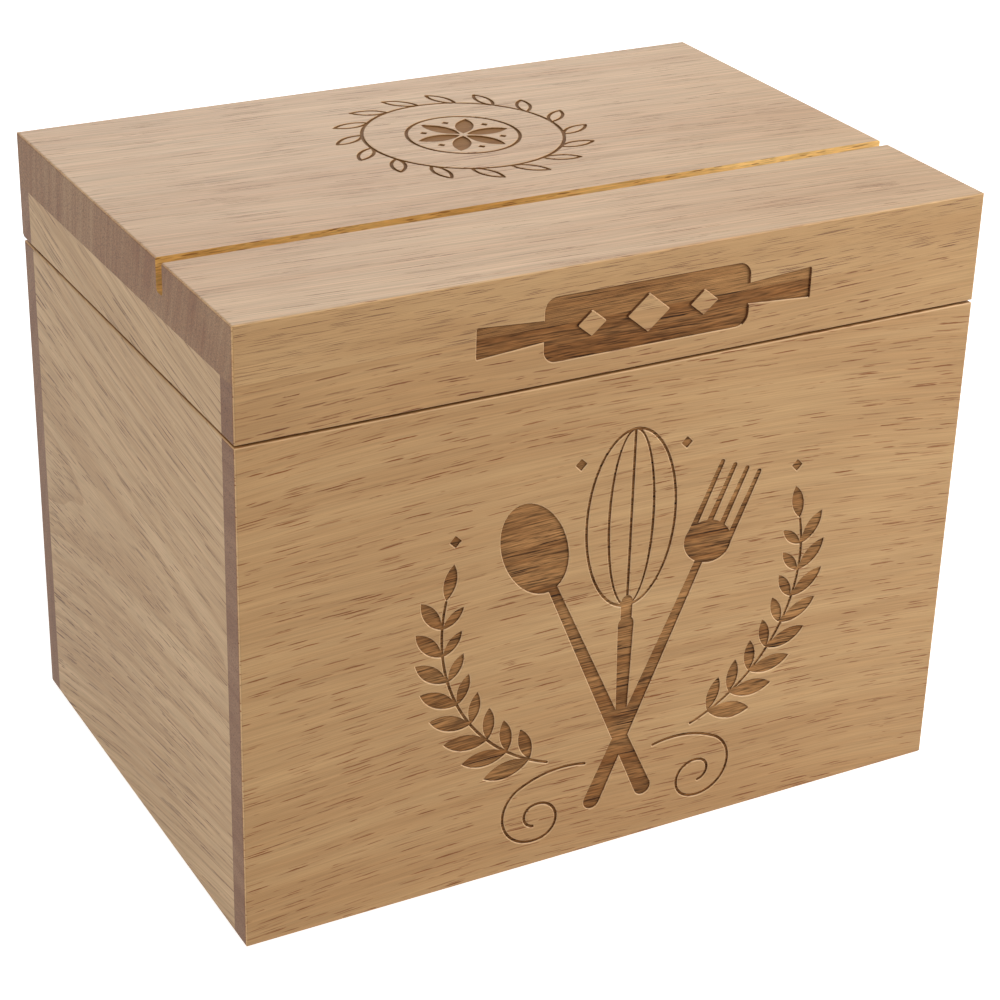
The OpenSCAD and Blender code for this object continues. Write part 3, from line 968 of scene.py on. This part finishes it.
class CARDBOX_OT_stage(bpy.types.Operator):
    """Lay the floor and set the lamps, the sky and the camera"""
    bl_idname = "cardbox.stage"
    bl_label = "Stage"

    def execute(self, context):
        stage = context.scene.card_box.stage
        bm = bmesh.new()
        bmesh.ops.create_circle(bm, cap_ends=True, segments=64, radius=4)
        mesh = bpy.data.meshes.new("floor")
        bm.to_mesh(mesh)
        bm.free()
        floor = bpy.data.objects.new("floor", mesh)
        context.collection.objects.link(floor)
        mesh.materials.append(studio_floor(stage.floor))
        set_world(context.scene, stage.sky)
        lamp("key", stage.key, (0.62, -0.52, 0.52), 0.4)
        lamp("fill", stage.fill, (-0.9, -0.25, 0.45), 0.7)
        lamp("back", stage.back, (0.3, 0.95, 0.5), 0.7)
        eye, aim = Vector(stage.camera), Vector(stage.aim)
        data = bpy.data.cameras.new("camera")
        data.lens, data.sensor_width = stage.lens, 36
        camera = bpy.data.objects.new("camera", data)
        context.collection.objects.link(camera)
        look = (aim - eye).to_track_quat("-Z", "Y").to_matrix().to_4x4()
        camera.matrix_world = (Matrix.Translation(eye) @ look
                               @ Matrix.Rotation(stage.roll, 4, "Z"))
        context.scene.camera = camera
        context.scene.view_settings.view_transform = "Standard"
        return {"FINISHED"}


def seen_or_mirrored(tree):
    """1 for what the camera sees, itself or in a mirror, and 0 for what only lights."""
    path = add(tree, "ShaderNodeLightPath")
    seen = add(tree, "ShaderNodeMath", {0: path.outputs["Is Camera Ray"],
                                        1: path.outputs["Is Glossy Ray"]}, operation="MAXIMUM")
    seen = add(tree, "ShaderNodeMath", {0: seen.outputs[0],
                                        1: path.outputs["Is Transmission Ray"]},
               operation="MAXIMUM")
    return seen.outputs[0]


def studio_floor(tint):
    """Seamless white paper: matt, white to the camera, and it keeps a soft shadow. It can be
    seen through from below."""
    material, tree, shader = new_material("floor_white_paper")
    shader.inputs["Base Color"].default_value = [*tint, 1]
    shader.inputs["Roughness"].default_value = 0.9
    seen = seen_or_mirrored(tree)
    lift = add(tree, "ShaderNodeMath", {0: seen, 1: 0.72}, operation="MULTIPLY")
    glow = add(tree, "ShaderNodeEmission", {"Color": (1, 1, 1, 1), "Strength": lift.outputs[0]})
    lit = add(tree, "ShaderNodeAddShader", {0: shader.outputs[0], 1: glow.outputs[0]})
    side = add(tree, "ShaderNodeNewGeometry")
    clear = add(tree, "ShaderNodeBsdfTransparent")
    both = add(tree, "ShaderNodeMixShader", {0: side.outputs["Backfacing"], 1: lit.outputs[0],
                                             2: clear.outputs[0]})
    tree.links.new(both.outputs[0], tree.nodes["Material Output"].inputs["Surface"])
    return material


def set_world(scene, strength):
    """Even white light from all round, and plain white to the camera."""
    world = bpy.data.worlds.new("studio")
    world.use_nodes = True
    tree = world.node_tree
    tree.nodes.clear()
    seen = seen_or_mirrored(tree)
    bright = add(tree, "ShaderNodeMapRange", {0: seen, 3: strength, 4: 1})
    glow = add(tree, "ShaderNodeBackground", {"Color": (1, 1, 1, 1),
                                              "Strength": bright.outputs[0]})
    out = add(tree, "ShaderNodeOutputWorld", {"Surface": glow.outputs[0]})
    out.is_active_output = True
    scene.world = world


def lamp(name, power, place, size):
    """A square soft box aimed at the middle of the box."""
    data = bpy.data.lights.new(name, "AREA")
    data.energy, data.size = power, size
    made = bpy.data.objects.new(name, data)
    bpy.context.collection.objects.link(made)
    aim = Vector((0, 0, 0.07)) - Vector(place)
    made.matrix_world = (Matrix.Translation(place)
                         @ aim.to_track_quat("-Z", "Y").to_matrix().to_4x4())


class CARDBOX_PT_panel(bpy.types.Panel):
    """Lists the steps that build the box"""
    bl_label = "Recipe Card Box"
    bl_idname = "CARDBOX_PT_panel"
    bl_space_type = "VIEW_3D"
    bl_region_type = "UI"
    bl_category = "Card Box"

    def draw(self, context):
        for step in STEPS:
            self.layout.operator(step.bl_idname)


SETTINGS = (PanelWood, SideWood, TopWood, KerfWood, CarvedWood, LidCarvedWood, HingeMetal,
            Carving, Stage, CardBox)
STEPS = (CARDBOX_OT_front_panel, CARDBOX_OT_lid_front, CARDBOX_OT_plain_boards,
         CARDBOX_OT_hinges, CARDBOX_OT_stage)
CLASSES = (*SETTINGS, *STEPS, CARDBOX_PT_panel)


def register():
    for cls in CLASSES:
        bpy.utils.register_class(cls)
    bpy.types.Scene.card_box = PointerProperty(type=CardBox)


def unregister():
    del bpy.types.Scene.card_box
    for cls in reversed(CLASSES):
        bpy.utils.unregister_class(cls)


def main():
    """Builds every piece, then the stage."""
    register()
    for step in STEPS:
        area, name = step.bl_idname.split(".")
        getattr(getattr(bpy.ops, area), name)()


if __name__ == "__main__":
    main()
